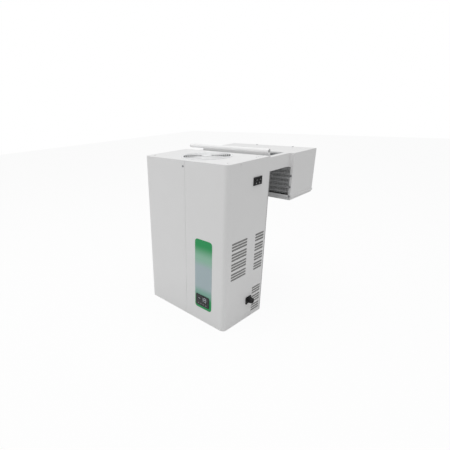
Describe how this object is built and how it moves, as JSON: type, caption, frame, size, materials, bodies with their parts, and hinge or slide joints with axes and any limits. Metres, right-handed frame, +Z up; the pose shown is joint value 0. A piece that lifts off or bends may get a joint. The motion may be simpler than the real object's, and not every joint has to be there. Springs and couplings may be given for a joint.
{
  "type": "monoblock refrigeration unit",
  "caption": "Saddle-type monoblock refrigeration unit for a cold room: condensing body outside, evaporator inside, joined by a neck over the wall panel.",
  "frame": {"origin": "middle of the wall's thickness and of the condensing body's width, on the underside of the neck, where the unit rests on the cold room's wall", "axes": "+Z up; +Y through the wall into the cold room, so the front with the label faces -Y; +X to the right for someone who stands before the front and looks along +Y, the side with the switch"},
  "size_m": [0.4536, 0.5509, 0.674],
  "materials": {
    "white_paint": "satin",
    "grey_sheet": "satin",
    "fin_aluminium": "satin",
    "copper_pipe": "satin",
    "black_plastic": "matte",
    "gloss_black": "gloss",
    "dark_grey_plastic": "matte",
    "key_grey": "matte",
    "label_green": "satin",
    "black_paint": "satin",
    "seal_rubber": "matte",
    "foam": "matte",
    "zinc_screw": "satin",
    "wire_grey": "satin"
  },
  "bodies": {
    "unit": {"base_tray": "white_paint", "left_cover": "white_paint", "right_cover": "white_paint", "top_panel": "white_paint", "back_panel": "grey_sheet", "mid_shelf": "grey_sheet", "wall_seal": "seal_rubber", "fan_guard": "wire_grey", "lifting_bar": "white_paint", "fan_shroud": "grey_sheet", "condenser_coil": "fin_aluminium", "condenser_fan_motor": "dark_grey_plastic", "compressor": "black_paint", "compressor_grommets": "seal_rubber", "compressor_bolts": "zinc_screw", "terminal_cover": "dark_grey_plastic", "discharge_pipe": "copper_pipe", "condenser_outlet_pipe": "copper_pipe", "filter_drier": "copper_pipe", "liquid_pipe": "copper_pipe", "suction_pipe": "copper_pipe", "electrical_box": "grey_sheet", "electrical_box_lid": "grey_sheet", "label_plate": "label_green", "controller_case": "gloss_black", "controller_display": "gloss_black", "rocker_housing": "black_plastic", "gland_plate": "black_plastic", "cable_gland": "black_plastic", "gland_locknut": "black_plastic", "neck_channel": "white_paint", "neck_insulation": "foam", "neck_lid": "grey_sheet", "evaporator_cover": "white_paint", "drain_pan": "white_paint", "evaporator_coil": "fin_aluminium", "defrost_heater": "dark_grey_plastic", "fan_frame_left": "black_plastic", "fan_frame_right": "black_plastic", "fan_grille_left": "black_plastic", "fan_grille_right": "black_plastic", "cover_screws": "zinc_screw", "evaporator_screws": "zinc_screw"},
    "condenser_fan_blades": {"condenser_fan_blades": "dark_grey_plastic"},
    "fan_rotor_left": {"fan_rotor_left": "dark_grey_plastic"},
    "fan_rotor_right": {"fan_rotor_right": "dark_grey_plastic"},
    "key_1": {"key_1": "key_grey"},
    "key_2": {"key_2": "key_grey"},
    "key_3": {"key_3": "key_grey"},
    "key_4": {"key_4": "key_grey"},
    "rocker_left": {"rocker_left": "dark_grey_plastic"},
    "rocker_right": {"rocker_right": "dark_grey_plastic"}
  },
  "joints": [
    {"name": "condenser_fan_spin", "type": "hinge", "parent": "unit", "child": "condenser_fan_blades", "pos_m": [0.015, -0.186, 0.034], "axis": [0, 0, 1], "continuous": true},
    {"name": "evaporator_fan_left_spin", "type": "hinge", "parent": "unit", "child": "fan_rotor_left", "pos_m": [-0.07068, 0.22, -0.0315], "axis": [0, 1, 0], "continuous": true},
    {"name": "evaporator_fan_right_spin", "type": "hinge", "parent": "unit", "child": "fan_rotor_right", "pos_m": [0.12068, 0.22, -0.0315], "axis": [0, 1, 0], "continuous": true},
    {"name": "key_1_press", "type": "slide", "parent": "unit", "child": "key_1", "axis": [0, 1, 0], "range_m": [0, 0.0008], "stiffness_N_per_m": 300},
    {"name": "key_2_press", "type": "slide", "parent": "unit", "child": "key_2", "axis": [0, 1, 0], "range_m": [0, 0.0008], "stiffness_N_per_m": 300},
    {"name": "key_3_press", "type": "slide", "parent": "unit", "child": "key_3", "axis": [0, 1, 0], "range_m": [0, 0.0008], "stiffness_N_per_m": 300},
    {"name": "key_4_press", "type": "slide", "parent": "unit", "child": "key_4", "axis": [0, 1, 0], "range_m": [0, 0.0008], "stiffness_N_per_m": 300},
    {"name": "rocker_left_tilt", "type": "hinge", "parent": "unit", "child": "rocker_left", "pos_m": [0.211, -0.14875, -0.0215], "axis": [0, -1, 0], "range_deg": [0, 24]},
    {"name": "rocker_right_tilt", "type": "hinge", "parent": "unit", "child": "rocker_right", "pos_m": [0.211, -0.12925, -0.0215], "axis": [0, -1, 0], "range_deg": [0, 24]}
  ]
}
